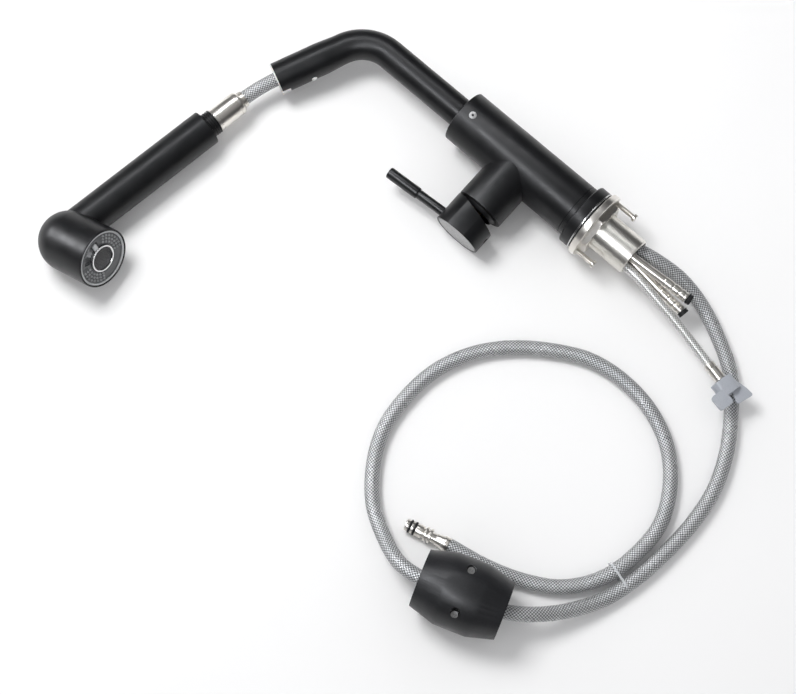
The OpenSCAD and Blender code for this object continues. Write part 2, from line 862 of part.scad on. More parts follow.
body_shell();
base_ring();
base_seal();
spout_grub_screw();
shank();
steel_washer();
rubber_washer();
mounting_nut();
clamp_screws();
water_block();
hot_inlet_tube();
cold_inlet_tube();
inlet_seals();
cartridge_body();
cartridge_seals();
cartridge_nut();
dome_trim();
cartridge_turner();
cartridge_stem();
handle_cap();
handle_end_plate();
handle_grub_screw();
lever_rod();
lever_grip();
spout_tube();
swivel_sleeve();
glide_rings();
spout_bush();
hose_in_body();
hose_in_spout();
flexing_hose();
hose_crimp();
hose_nut();
spray_shell();
spray_collar();
check_valve();
water_tube();
diverter();
face_ring();
face_plate();
spray_nozzles();
aerator_ring();
mode_tab();
aerator_mesh();
spray_hose();
weight_upper_half();
weight_lower_half();
weight_screws();
hose_tie();
plug_ferrule();
quick_plug();
plug_o_rings();
outlet_hose();
outlet_ferrule();
quick_connector();
connector_clip();
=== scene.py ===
import math

import bmesh
import bpy
import numpy as np
from mathutils import Matrix, Vector


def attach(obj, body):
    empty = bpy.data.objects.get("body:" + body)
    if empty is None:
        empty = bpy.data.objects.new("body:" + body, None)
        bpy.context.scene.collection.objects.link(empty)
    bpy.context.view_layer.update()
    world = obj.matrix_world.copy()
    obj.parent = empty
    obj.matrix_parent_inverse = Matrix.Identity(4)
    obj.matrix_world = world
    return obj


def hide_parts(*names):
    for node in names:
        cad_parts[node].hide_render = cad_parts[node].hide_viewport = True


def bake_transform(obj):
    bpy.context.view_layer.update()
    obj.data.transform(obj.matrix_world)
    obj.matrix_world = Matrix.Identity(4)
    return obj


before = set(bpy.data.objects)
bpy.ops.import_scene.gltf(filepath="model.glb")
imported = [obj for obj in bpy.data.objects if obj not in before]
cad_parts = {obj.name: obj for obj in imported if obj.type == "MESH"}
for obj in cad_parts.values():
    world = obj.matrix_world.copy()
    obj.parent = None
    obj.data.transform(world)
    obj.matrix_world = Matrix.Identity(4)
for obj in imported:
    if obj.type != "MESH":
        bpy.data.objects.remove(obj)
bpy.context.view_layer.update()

# ---- Camera: high above the table and looking down the slope of the body, in metres ----

CAMERA_AT = (-0.1739, 0.4190, 1.2055)
CAMERA_LOOK = (0.1737, -0.1918, -0.9659)
CAMERA_UP = (0.6484, -0.7159, 0.2588)

camera_data = bpy.data.cameras.new("camera")
camera_data.sensor_width = 36
camera_data.lens = 72.36
camera_data.clip_start, camera_data.clip_end = 0.01, 20
camera = bpy.data.objects.new("camera", camera_data)
bpy.context.scene.collection.objects.link(camera)
look = Vector(CAMERA_LOOK).normalized()
cam_right = look.cross(Vector(CAMERA_UP)).normalized()
cam_up = cam_right.cross(look)
camera.matrix_world = Matrix.Translation(CAMERA_AT) @ Matrix(
    (cam_right, cam_up, -look)
).transposed().to_4x4()
bpy.context.scene.camera = camera

# ---- Sizes and places of the part, in millimetres and degrees, as in the CAD ----

# One millimetre in metres, in which the meshes are written
MM = 0.001
# Body along X from its foot at 0, and the barrel that stands square on it along Y
BODY_R, BODY_BORE, BODY_L = 22.5, 15.2, 134
BARREL_X, BARREL_R, BARREL_BORE, BARREL_L = 72, 20.8, 17.55, 50.5
FOOT_R, FOOT_H = 26.7, 9
DOME_Y, DOME_R = 42, 18.35
# Handle: its cap's end, and the lever that leaves the cap
CAP_END_Y, LEVER_Y, LEVER_TILT = 78.3, 69.5, 4
ROD_R, LEVER_R = 4.0, 4.8
# Fixing: shank, flanged nut and the two clamping screws
SHANK_R, SHANK_BORE, SHANK_END = 16, 14, -46.3
NUT_FLAT, NUT_CORNER, NUT_BEVEL_Z = 20, 23.1, -12.2
CLAMP_Y, CLAMP_END = 25, -26.8
# Spout: its bend, the leg after it and the swelling at its mouth
TURN, CORNER_X, LEG, BEND_R = 66.4, 238, 84, 36
SPOUT_R, MOUTH_SWELL, SWELL_L = 12.5, 0.9, 20
TANGENT = BEND_R * math.tan(math.radians(TURN / 2))
LEG_STRAIGHT = LEG - TANGENT
# Handset: its grip, the head across its end, and the hose nut and crimp behind it
HANDLE_END = (284.6, 144.7, -8.7)
GRIP_R, SPRAY_L = 15, 145.5
HEAD_R, HEAD_L, FACE_R = 24.7, 38, 23.2
NUT_R, CRIMP_Z = 9.95, 39
# Weight on the hose: the side and the seat's height of each of its screws
WEIGHT_SEATS = ((-17, 14), (17, 6))


def shift(x, y, z):
    return Matrix.Translation((x, y, z))


def spin(degrees, axis):
    return Matrix.Rotation(math.radians(degrees), 4, axis)


# The body lies rolled a little about its own length
ROLLED = spin(-6.1, "X")
HANDSET = shift(*HANDLE_END) @ spin(82.8, "Z") @ spin(90 - 0.65, "Y") @ spin(112, "Z")
HEAD = HANDSET @ shift(7.4, 0, SPRAY_L) @ spin(106, "Y")
WEIGHT = shift(-121.5, 289.5, -0.5) @ spin(20.4, "Z")
PLUG = shift(-88, 266, -23) @ spin(15.5, "Z") @ spin(90, "Y")
CONNECTOR = shift(-145, 24.9, -9) @ spin(168, "Z") @ spin(90, "Y")
# On the lever's axis, with +Z towards its tip
LEVER = ROLLED @ shift(BARREL_X, LEVER_Y, 0) @ spin(LEVER_TILT, "Z") @ spin(90, "Y")
# In the spout's mouth, with +Z out of it
MOUTH = ROLLED @ shift(CORNER_X, 0, 0) @ spin(TURN, "Z") @ spin(90, "Y") @ shift(0, 0, LEG)


def along_x(x, y=0):
    """A frame on the body's axis, or y beside it, with +Z along the body."""
    return ROLLED @ shift(x, y, 0) @ spin(90, "Y")


def on_barrel(y):
    """A frame on the barrel's axis, with +Z out of the barrel."""
    return ROLLED @ shift(BARREL_X, y, 0) @ spin(-90, "X")


# ---- Mesh building, in millimetres: each shape is (points, faces, uv per face corner) ----


def grid(points, closed_rows=False):
    """A surface from points[row, side], closed round its sides. Its UV runs once round and once along."""
    rows, sides = points.shape[:2]
    last = rows if closed_rows else rows - 1
    row, side = (a.ravel() for a in np.meshgrid(np.arange(last), np.arange(sides), indexing="ij"))
    after, beside = (row + 1) % rows, (side + 1) % sides
    faces = np.stack(
        [row * sides + side, row * sides + beside, after * sides + beside, after * sides + side], 1
    )
    u = np.stack([side, side + 1, side + 1, side], 1) / sides
    v = np.stack([row, row, row + 1, row + 1], 1) / last
    return points.reshape(-1, 3), faces.tolist(), np.stack([u, v], 2).reshape(-1, 2)


def join(*shapes):
    """Several shapes as one."""
    points, faces, uvs, start = [], [], [], 0
    for p, f, uv in shapes:
        points.append(p)
        faces += [[i + start for i in face] for face in f]
        uvs.append(uv)
        start += len(p)
    return np.concatenate(points), faces, np.concatenate(uvs)


def placed(matrix, shape):
    """The shape moved into a frame of the part."""
    m = np.array(matrix)
    return shape[0] @ m[:3, :3].T + m[:3, 3], shape[1], shape[2]


def softened(profile, radius, closed=False):
    """The polyline with its corners rounded."""
    p = [np.array(q, float) for q in profile]
    out = []
    for i, here in enumerate(p):
        if not closed and i in (0, len(p) - 1):
            out.append(here)
            continue
        before, after = p[i - 1], p[(i + 1) % len(p)]
        a, b = before - here, after - here
        la, lb = np.linalg.norm(a), np.linalg.norm(b)
        start = here + a / la * min(radius, 0.45 * la)
        end = here + b / lb * min(radius, 0.45 * lb)
        for t in (0, 0.33, 0.67, 1):
            out.append((1 - t) ** 2 * start + 2 * t * (1 - t) * here + t * t * end)
    return out


def lathe(profile, sides=96, closed=False, soft=0.0, wave=None):
    """A turned shape round +Z from (radius, height) points. wave changes the radius by angle."""
    if soft:
        profile = softened(profile, soft, closed)
    profile = np.array(profile, float)
    angle = np.linspace(0, 2 * np.pi, sides, endpoint=False)
    r, z = profile[:, :1] + 0 * angle, profile[:, 1:] + 0 * angle
    if wave is not None:
        r = wave(r, angle[None, :], z)
    return grid(np.stack([r * np.cos(angle), r * np.sin(angle), z], 2), closed)


def resampled(points, spacing):
    """Even points along a smooth curve through the given points."""
    p = np.array(points, float)
    if len(p) == 2:
        p = np.array([p[0], p[0] * 2 / 3 + p[1] / 3, p[0] / 3 + p[1] * 2 / 3, p[1]])
    ends = np.vstack([2 * p[0] - p[1], p, 2 * p[-1] - p[-2]])
    fine = []
    for i in range(len(p) - 1):
        a, b, c, d = ends[i : i + 4]
        knots = np.cumsum([0] + [np.linalg.norm(v) ** 0.5 for v in (b - a, c - b, d - c)])
        t = np.linspace(knots[1], knots[2], 24, endpoint=False)[:, None]
        k0, k1, k2, k3 = knots
        a1 = (k1 - t) / (k1 - k0) * a + (t - k0) / (k1 - k0) * b
        a2 = (k2 - t) / (k2 - k1) * b + (t - k1) / (k2 - k1) * c
        a3 = (k3 - t) / (k3 - k2) * c + (t - k2) / (k3 - k2) * d
        b1 = (k2 - t) / (k2 - k0) * a1 + (t - k0) / (k2 - k0) * a2
        b2 = (k3 - t) / (k3 - k1) * a2 + (t - k1) / (k3 - k1) * a3
        fine.append((k2 - t) / (k2 - k1) * b1 + (t - k1) / (k2 - k1) * b2)
    fine = np.vstack(fine + [p[-1:]])
    run = np.r_[0, np.cumsum(np.linalg.norm(np.diff(fine, axis=0), axis=1))]
    even = np.linspace(0, run[-1], max(2, int(round(run[-1] / spacing)) + 1))
    return np.stack([np.interp(even, run, fine[:, k]) for k in range(3)], 1), even


def carried_frames(path):
    """Two directions square to the path at each point, which never twist about it."""
    along = np.gradient(path, axis=0)
    along /= np.linalg.norm(along, axis=1)[:, None]
    side = np.cross(along[0], (0, 0, 1.0))
    sides = []
    for direction in along:
        side = side - (side @ direction) * direction
        side = side / np.linalg.norm(side)
        sides.append(side)
    sides = np.array(sides)
    return sides, np.cross(along, sides)


def spokes(angle, side, up):
    """Directions from the path at every ring and angle."""
    return np.cos(angle)[None, :, None] * side[:, None] + np.sin(angle)[None, :, None] * up[:, None]


def sweep(path, radius, sides=48):
    """A tube along path. radius is a number, one per ring, or one per ring and side."""
    side, up = carried_frames(path)
    angle = np.linspace(0, 2 * np.pi, sides, endpoint=False)
    r = np.asarray(radius, float)
    if r.ndim < 2:
        r = np.broadcast_to(r, (len(path),))[:, None] + 0 * angle
    return grid(path[:, None] + r[:, :, None] * spokes(angle, side, up))


def smooth(mesh, degrees=32):
    """Smooth shading, broken at edges sharper than this."""
    mesh.polygons.foreach_set("use_smooth", [True] * len(mesh.polygons))
    mesh.set_sharp_from_angle(angle=math.radians(degrees))


def piece(name, shape, mat, body, stands_for=(), degrees=32, ridden=True):
    """A visible piece that moves with its body, and the CAD nodes that it stands for."""
    points, faces, uv = shape
    mesh = bpy.data.meshes.new(name)
    mesh.from_pydata((points * MM).tolist(), [], faces)
    layer = mesh.uv_layers.new(name="UVMap")
    layer.data.foreach_set("uv", np.asarray(uv, np.float32).ravel())
    bm = bmesh.new()
    bm.from_mesh(mesh)
    bmesh.ops.recalc_face_normals(bm, faces=bm.faces)
    bm.to_mesh(mesh)
    bm.free()
    smooth(mesh, degrees)
    mesh.materials.append(mat)
    obj = bpy.data.objects.new(name, mesh)
    bpy.context.scene.collection.objects.link(obj)
    if ridden:
        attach(obj, body)
    if stands_for:
        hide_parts(*stands_for)
    return obj


# The CAD mesh's points closer than WELD metres are one point, and faces that differ by less than
# FLAT radians are one face. Edges sharper than BEVEL_OVER degrees are bevelled.
WELD, FLAT, BEVEL_OVER = 2e-6, 0.01, 30


def refined(name, node, mat, body, bevel=0.3, segments=2, crease=36):
    """The CAD node's shape, with bevels of this many millimetres on its edges."""
    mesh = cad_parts[node].data.copy()
    mesh.name = name
    mesh.materials.clear()
    bm = bmesh.new()
    bm.from_mesh(mesh)
    bmesh.ops.remove_doubles(bm, verts=bm.verts, dist=WELD)
    bmesh.ops.dissolve_limit(bm, angle_limit=FLAT, verts=bm.verts, edges=bm.edges)
    bm.to_mesh(mesh)
    bm.free()
    obj = bpy.data.objects.new(name, mesh)
    bpy.context.scene.collection.objects.link(obj)
    if bevel:
        cut = obj.modifiers.new("edges", "BEVEL")
        cut.width, cut.segments = bevel * MM, segments
        cut.limit_method, cut.angle_limit = "ANGLE", math.radians(BEVEL_OVER)
        cut.use_clamp_overlap = True
        depsgraph = bpy.context.evaluated_depsgraph_get()
        done = bpy.data.meshes.new_from_object(obj.evaluated_get(depsgraph))
        obj.modifiers.clear()
        obj.data = done
    obj.data.materials.clear()
    obj.data.materials.append(mat)
    smooth(obj.data, crease)
    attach(obj, body)
    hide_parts(node)
    return obj


# ---- Materials ----


class Nodes:
    """Short calls for making a material's nodes."""

    def __init__(self, name):
        self.material = bpy.data.materials.new(name)
        self.material.use_nodes = True
        self.tree = self.material.node_tree
        self.shader = self.tree.nodes["Principled BSDF"]
        self.place = self.add("ShaderNodeTexCoord")

    def add(self, kind, **values):
        node = self.tree.nodes.new(kind)
        for key, value in values.items():
            setattr(node, key, value)
        return node

    def link(self, out, into):
        self.tree.links.new(out, into)

    def math(self, operation, a, b=0.0, c=0.0):
        node = self.add("ShaderNodeMath", operation=operation)
        for socket, value in zip(node.inputs, (a, b, c)):
            if hasattr(value, "is_output"):
                self.link(value, socket)
            else:
                socket.default_value = value
        return node.outputs[0]

    def noise(self, scale, detail=3.0, stretch=(1, 1, 1), rough=0.5):
        mapping = self.add("ShaderNodeMapping")
        mapping.inputs["Scale"].default_value = stretch
        self.link(self.place.outputs["Object"], mapping.inputs["Vector"])
        node = self.add("ShaderNodeTexNoise")
        node.inputs["Scale"].default_value = scale
        node.inputs["Detail"].default_value = detail
        node.inputs["Roughness"].default_value = rough
        self.link(mapping.outputs[0], node.inputs["Vector"])
        return node.outputs["Fac"]

    def span(self, value, low, high, start=0.3, stop=0.7):
        node = self.add("ShaderNodeMapRange")
        self.link(value, node.inputs["Value"])
        for key, v in (("From Min", start), ("From Max", stop), ("To Min", low), ("To Max", high)):
            node.inputs[key].default_value = v
        return node.outputs[0]

    def mix(self, factor, a, b):
        node = self.add("ShaderNodeMix", data_type="RGBA")
        self.link(factor, node.inputs[0])
        for socket, value in ((node.inputs[6], a), (node.inputs[7], b)):
            if hasattr(value, "is_output"):
                self.link(value, socket)
            else:
                socket.default_value = (*value, 1)
        return node.outputs[2]

    def bump(self, height, strength, distance):
        node = self.add("ShaderNodeBump")
        node.inputs["Strength"].default_value = strength
        node.inputs["Distance"].default_value = distance
        self.link(height, node.inputs["Height"])
        return node.outputs[0]

    def set(self, **values):
        for key, value in values.items():
            socket = self.shader.inputs[key.replace("_", " ")]
            if hasattr(value, "is_output"):
                self.link(value, socket)
            else:
                socket.default_value = value
        return self.material


def coated(name, dark, light, rough, grain=1400, strength=0.12, metal=0.0, **more):
    """Paint, plastic or rubber: uneven tone, uneven gloss and a fine grain."""
    n = Nodes(name)
    broad = n.noise(35, 4)
    fine = n.noise(grain, 2)
    cloud = n.math("ADD", n.math("MULTIPLY", broad, 0.6), n.math("MULTIPLY", fine, 0.4))
    return n.set(
        Base_Color=n.mix(n.span(cloud, 0, 1), dark, light),
        Roughness=n.span(n.noise(90, 5), rough - 0.05, rough + 0.06),
        Normal=n.bump(fine, strength, 0.0001),
        Metallic=metal,
        **more,
    )


def polished(name, dark, light, rough, lines=(1, 1, 1)):
    """Bright metal with fine scratches, which lines can stretch, and a little staining."""
    n = Nodes(name)
    stain = n.noise(25, 2)
    marks = n.noise(300, 2, lines)
    wear = n.math("ADD", n.math("MULTIPLY", stain, 0.5), n.math("MULTIPLY", marks, 0.5))
    return n.set(
        Base_Color=n.mix(n.span(stain, 0, 1, 0.35, 0.75), light, dark),
        Roughness=n.span(wear, rough - 0.01, rough + 0.02),
        Normal=n.bump(marks, 0.003, 0.00005),
        Metallic=1.0,
    )


def speckled(name, dark, light, rough, metal):
    """Sprayed or sandblasted metal with fine light spots."""
    n = Nodes(name)
    spots = n.noise(2600, 2, rough=0.7)
    return n.set(
        Base_Color=n.mix(n.span(spots, 0, 1, 0.4, 0.62), dark, light),
        Roughness=n.span(n.noise(300), rough - 0.05, rough + 0.08),
        Normal=n.bump(spots, 0.1, 0.00008),
        Metallic=metal,
    )


def film(name, dark, light, alpha):
    """Thin clear plastic."""
    n = Nodes(name)
    return n.set(
        Base_Color=n.mix(n.span(n.noise(200), 0, 1), dark, light),
        Roughness=n.span(n.noise(400), 0.05, 0.15),
        Alpha=alpha,
    )


def braided(name, carriers, pitches, gap_painted_shade, low, high, rough, metal, thread=9.0):
    """Two families of strands that cross over and under, drawn on a tube whose UV runs once
    round it and once along it. Each crossing is a raised bead, coloured lighter at its crest as a
    painted highlight and darker on its flanks as painted shade, with painted shade in the gaps round it."""
    n = Nodes(name)

    def times(a, b):
        return n.math("MULTIPLY", a, b)

    def plus(a, b):
        return n.math("ADD", a, b)

    def minus(a, b):
        return n.math("SUBTRACT", a, b)

    def by_cell(first, second):
        """The first value where the first family lies on top, and the second elsewhere."""
        return plus(times(first, minus(1.0, second_on_top)), times(second, second_on_top))

    uv = n.add("ShaderNodeSeparateXYZ")
    n.link(n.place.outputs["UV"], uv.inputs[0])
    round_it = times(uv.outputs[0], carriers)
    along_it = times(uv.outputs[1], pitches)
    a, b = plus(round_it, along_it), minus(round_it, along_it)
    in_a, in_b = n.math("FRACT", a), n.math("FRACT", b)
    cell = plus(n.math("FLOOR", a), n.math("FLOOR", b))
    even_below = times(n.math("FLOOR", times(cell, 0.5)), 2)
    second_on_top = n.math("ABSOLUTE", minus(cell, even_below))
    crest_a = n.math("SINE", times(in_a, math.pi))
    crest_b = n.math("SINE", times(in_b, math.pi))
    across = by_cell(crest_a, crest_b)
    length = by_cell(crest_b, crest_a)
    height = times(across, n.math("MULTIPLY_ADD", length, 0.7, 0.3))
    threads = n.math("ABSOLUTE", n.math("SINE", times(by_cell(in_a, in_b), thread * math.pi / 2)))
    wear_and_thread_shade = n.noise(55, 4)
    # Painted light: each strand is coloured from low on its flanks, as painted shade, to high on its
    # crest, as a painted highlight
    strand_painted_light = n.mix(n.span(height, 0, 1, 0.18, 0.85), low, high)
    # Painted shade: fine thread lines darken the strand towards its flank colour, by an amount that the
    # wear noise varies
    shaded = n.mix(n.span(times(threads, wear_and_thread_shade), 0, 0.5, 0.05, 0.5), strand_painted_light, low)
    return n.set(
        # Painted shade in the gaps between the beads
        Base_Color=n.mix(n.span(height, 0, 1, 0.1, 0.3), gap_painted_shade, shaded),
        Roughness=n.span(wear_and_thread_shade, rough - 0.06, rough + 0.1),
        Normal=n.bump(plus(height, times(threads, 0.18)), 0.7, 0.0003),
        Metallic=metal,
    )


COAT = (0.004, 0.0042, 0.005)
COAT_LIT = (0.007, 0.0073, 0.0085)
BLACK = coated("matte_black_coat", COAT, COAT_LIT, 0.36, Specular_IOR_Level=0.35)
SPRAY_BLACK = coated("spray_black_coat", COAT, COAT_LIT, 0.38, Specular_IOR_Level=0.35)
LEVER_BLACK = coated(
    "lever_black_coat", COAT, (0.008, 0.0083, 0.0095), 0.30, Specular_IOR_Level=0.5)
SOFT_BLACK = coated(
    "soft_black_plastic", (0.004, 0.004, 0.0045), (0.008, 0.008, 0.009), 0.42, 900, 0.2,
    Specular_IOR_Level=0.35)
WEIGHT_GREY = coated(
    "weight_dark_paint", (0.009, 0.0095, 0.011), (0.017, 0.0175, 0.020), 0.40, 700, 0.25,
    Specular_IOR_Level=0.4)
RUBBER = coated("black_rubber", (0.004, 0.004, 0.004), (0.009, 0.009, 0.009), 0.55, 1200, 0.3)
JET_RUBBER = coated(
    "grey_jet_rubber", (0.22, 0.225, 0.23), (0.34, 0.35, 0.355), 0.4, 2000, 0.2)
FACE_DARK = coated(
    "face_dark_grey", (0.05, 0.053, 0.056), (0.085, 0.088, 0.092), 0.3, 1500, 0.1)
FACE_GREY = coated("face_light_grey", (0.42, 0.43, 0.44), (0.56, 0.57, 0.58), 0.38, 1500, 0.1)
GAUZE = coated("gauze_dark_wire", (0.12, 0.12, 0.122), (0.20, 0.20, 0.202), 0.35, 2000, 0.1, 0.6)
NYLON = coated(
    "white_nylon", (0.66, 0.66, 0.64), (0.82, 0.82, 0.80), 0.35, 800, 0.1,
    Subsurface_Weight=0.15, Subsurface_Scale=0.002)
CLIP_GREY = coated("clip_blue_grey", (0.33, 0.35, 0.39), (0.42, 0.44, 0.48), 0.42, 1100, 0.15)
SATIN = speckled("satin_grey_metal", (0.24, 0.24, 0.24), (0.48, 0.48, 0.48), 0.42, 0.6)
NICKEL = polished("polished_nickel", (0.72, 0.69, 0.64), (0.82, 0.79, 0.74), 0.29)
THREAD_NICKEL = polished("thread_nickel", (0.70, 0.68, 0.63), (0.80, 0.78, 0.73), 0.3)
STEEL = polished("bright_steel", (0.5, 0.5, 0.5), (0.72, 0.72, 0.72), 0.2, (1, 6, 6))
BRASS = polished("turned_brass", (0.40, 0.28, 0.11), (0.66, 0.50, 0.24), 0.25, (8, 1, 8))
CLEAR = film("clear_film", (0.8, 0.83, 0.86), (0.93, 0.95, 0.97), 0.35)

# ---- Cords: the spray hose and the outlet hose below the deck, and the hose at the spray ----

# Centrelines in metres, the same points as the CAD tubes have
SPRAY_ROUTE = [
    (-0.044, -0.0075, -0.001), (-0.062, -0.012, -0.005), (-0.084, -0.016, -0.013),
    (-0.109, -0.013, -0.020), (-0.138, -0.001, -0.023), (-0.164, 0.016, -0.023),
    (-0.184, 0.040, -0.023), (-0.201, 0.067, -0.023), (-0.212, 0.096, -0.023),
    (-0.216, 0.127, -0.023), (-0.215, 0.159, -0.0224), (-0.211, 0.190, -0.0222),
    (-0.202, 0.220, -0.021), (-0.185, 0.248, -0.013), (-0.168, 0.267, -0.004),
    (-0.154, 0.2774, -0.0005), (-0.122, 0.2893, -0.0005), (-0.090, 0.3012, -0.0005),
    (-0.070, 0.303, -0.005), (-0.048, 0.2955, -0.016), (-0.024, 0.282, -0.022),
    (-0.003, 0.259, -0.023), (0.011, 0.231, -0.023), (0.015, 0.200, -0.023),
    (0.012, 0.169, -0.023), (0.0, 0.140, -0.023), (-0.019, 0.116, -0.023),
    (-0.044, 0.096, -0.023), (-0.072, 0.081, -0.023), (-0.102, 0.076, -0.023),
    (-0.134, 0.080, -0.023), (-0.162, 0.093, -0.023), (-0.184, 0.115, -0.023),
    (-0.198, 0.144, -0.023), (-0.199, 0.175, -0.0224), (-0.192, 0.205, -0.0222),
    (-0.174, 0.231, -0.0228), (-0.148, 0.248, -0.023), (-0.119, 0.259, -0.023),
    (-0.088, 0.266, -0.023),
]
OUTLET_ROUTE = [
    (-0.044, 0.0097, 0.0), (-0.056, 0.0104, -0.0003), (-0.070, 0.012, -0.001),
    (-0.085, 0.014, -0.0025), (-0.100, 0.016, -0.0045), (-0.115, 0.0185, -0.0063),
    (-0.129, 0.0212, -0.0078), (-0.145, 0.0249, -0.009),
]
# The lowest that the spray hose's centre goes, so that it lies on the table
HOSE_LOW = -23
SPRAY_PITCH, SPRAY_CARRIERS = 2.6, 14
OUTLET_PITCH, OUTLET_CARRIERS = 1.9, 8


def woven(path, run, radius, relief, carriers, pitch, per_cell=4):
    """A tube whose surface rises at each crossing of its strands."""
    sides = carriers * per_cell
    angle = np.arange(sides) / per_cell
    along = run[:, None] / pitch
    a, b = angle[None, :] + along, angle[None, :] - along
    over = (np.floor(a) + np.floor(b)) % 2 < 0.5
    crest_a, crest_b = np.abs(np.sin(np.pi * a)), np.abs(np.sin(np.pi * b))
    bead = np.where(over, crest_a * (0.3 + 0.7 * crest_b), crest_b * (0.3 + 0.7 * crest_a))
    return sweep(path, radius - relief + relief * bead, sides)


def spray_braid(name, run):
    """The spray hose's grey braid, at its true pitch on a tube of this length."""
    return braided(
        name, SPRAY_CARRIERS, run[-1] / SPRAY_PITCH,
        # The first colour is painted shade between the strands, the second painted shade on their flanks
        # and the third a painted highlight on their crests
        gap_painted_shade=(0.012, 0.012, 0.014), low=(0.20, 0.205, 0.21), high=(0.82, 0.83, 0.84),
        rough=0.30, metal=0.35)


hose_path, hose_run = resampled(np.array(SPRAY_ROUTE) * 1000, 0.78)
hose_path[:, 2] = np.maximum(hose_path[:, 2], HOSE_LOW)
NYLON_BRAID = spray_braid("grey_nylon_braid", hose_run)
spray_tube = piece(
    "braided_spray_hose",
    woven(hose_path, hose_run, 6.0, 0.45, SPRAY_CARRIERS, SPRAY_PITCH),
    NYLON_BRAID, "tap_body", ["spray_hose"], degrees=180)

outlet_path, outlet_run = resampled(np.array(OUTLET_ROUTE) * 1000, 0.4)
WIRE_BRAID = braided(
    "steel_wire_braid", OUTLET_CARRIERS, outlet_run[-1] / OUTLET_PITCH,
    # The first colour is painted shade between the strands, the second painted shade on their flanks and
    # the third a painted highlight on their crests
    gap_painted_shade=(0.02, 0.02, 0.02), low=(0.55, 0.55, 0.54), high=(0.98, 0.98, 0.96),
    rough=0.30, metal=0.5, thread=7.0)
outlet_tube = piece(
    "braided_outlet_hose",
    woven(outlet_path, outlet_run, 3.6, 0.25, OUTLET_CARRIERS, OUTLET_PITCH, 8),
    WIRE_BRAID, "tap_body", ["outlet_hose"], degrees=180)


def bend_between(start, start_dir, end, end_dir, lead_out, lead_in, past_end):
    """A smooth curve that leaves start along start_dir and runs into end along end_dir."""
    t = np.linspace(0, 1, 12)[:, None]
    leave = start + lead_out * start_dir
    arrive = end - lead_in * end_dir
    finish = end + past_end * end_dir
    return ((1 - t) ** 3 * start + 3 * t * (1 - t) ** 2 * leave
            + 3 * t * t * (1 - t) * arrive + t ** 3 * finish)


# The short hose runs from inside the spout's mouth to the crimp at the handset
spout_dir = np.array(MOUTH.to_3x3() @ Vector((0, 0, 1)))
spray_dir = np.array(HANDSET.to_3x3() @ Vector((0, 0, 1)))
bend_start = np.array(MOUTH.translation) - 43 * spout_dir
hose_tip = np.array(HANDLE_END) - CRIMP_Z * spray_dir
bend = bend_between(bend_start, spout_dir, hose_tip, spray_dir, 32, 22, 1.5)
flex_path, flex_run = resampled(np.vstack([bend_start - 8 * spout_dir, bend]), 0.6)
FLEX_BRAID = spray_braid("grey_nylon_braid_short", flex_run)
flex_tube = piece(
    "braided_hose_at_spray",
    woven(flex_path, flex_run, 5.9, 0.45, SPRAY_CARRIERS, SPRAY_PITCH),
    FLEX_BRAID, "spout", ["flexing_hose"], degrees=180, ridden=False)
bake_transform(flex_tube)

# ---- Body ----


def groove(radius, low, high, depth):
    """Points of a shallow groove with sloping sides, turned into a cylinder."""
    side = 0.2
    floor_r = radius - depth
    return [(radius, low), (floor_r, low + side), (floor_r, high - side), (radius, high)]


def turned(name, at, profile, mat, body, stands_for=(),
           sides=96, closed=False, soft=0.0, wave=None, degrees=32):
    """A piece that is one lathe shape round the Z axis of the matrix at."""
    shape = placed(at, lathe(profile, sides, closed, soft, wave))
    return piece(name, shape, mat, body, stands_for, degrees)


body_tube = lathe(
    [(BODY_R - 1.3, 0), (BODY_R - 0.3, 0.3), (BODY_R, 1)]
    + groove(BODY_R, 12.9, 13.8, 0.5)
    + [(BODY_R, BODY_L - 1.1), (BODY_R - 0.2, BODY_L - 0.5), (BODY_R - 0.7, BODY_L - 0.1),
       (BODY_R - 1.2, BODY_L), (BODY_BORE + 0.5, BODY_L), (BODY_BORE + 0.1, BODY_L - 0.2),
       (BODY_BORE, BODY_L - 0.6), (BODY_BORE, 92.5)], 128)
barrel = lathe(
    [(BARREL_R, 2), (BARREL_R, BARREL_L - 0.7), (BARREL_R - 0.2, BARREL_L - 0.2),
     (BARREL_R - 0.6, BARREL_L), (BARREL_BORE + 0.45, BARREL_L),
     (BARREL_BORE + 0.05, BARREL_L - 0.2), (BARREL_BORE, BARREL_L - 0.7), (BARREL_BORE, 46.2)],
    128)
piece("body_casting", join(placed(along_x(0), body_tube), placed(on_barrel(0), barrel)),
      BLACK, "tap_body", ["body_shell"])
turned("foot_ring", along_x(0),
       [(FOOT_R, 0.05), (FOOT_R, FOOT_H - 0.9), (FOOT_R - 0.9, FOOT_H), (BODY_R + 0.06, FOOT_H),
        (BODY_R + 0.06, 1.7), (23.4, 1.6), (23.4, 0.05)],
       BLACK, "tap_body", ["base_ring"], 128, True, 0.35)
turned("foot_seal", along_x(0), [(25.2, 0.1), (25.2, 1.3), (23.6, 1.3), (23.6, 0.1)],
       RUBBER, "tap_body", ["base_seal"], 96, True, 0.3)
turned("spout_set_screw", ROLLED @ shift(123, 0, 0),
       [(3.1, 20.0), (3.1, 22.3), (3.0, 22.55), (2.75, 22.65), (1.15, 22.6), (0.95, 22.4),
        (0.9, 21.9), (0.01, 21.85)],
       SATIN, "tap_body", ["spout_grub_screw"], 48)


def on_dome(radius, low, high, count):
    """Points on the dome's sphere of this radius, from one height above its centre to another."""
    return [(math.sqrt(radius ** 2 - h * h), DOME_Y + h) for h in np.linspace(low, high, count)]


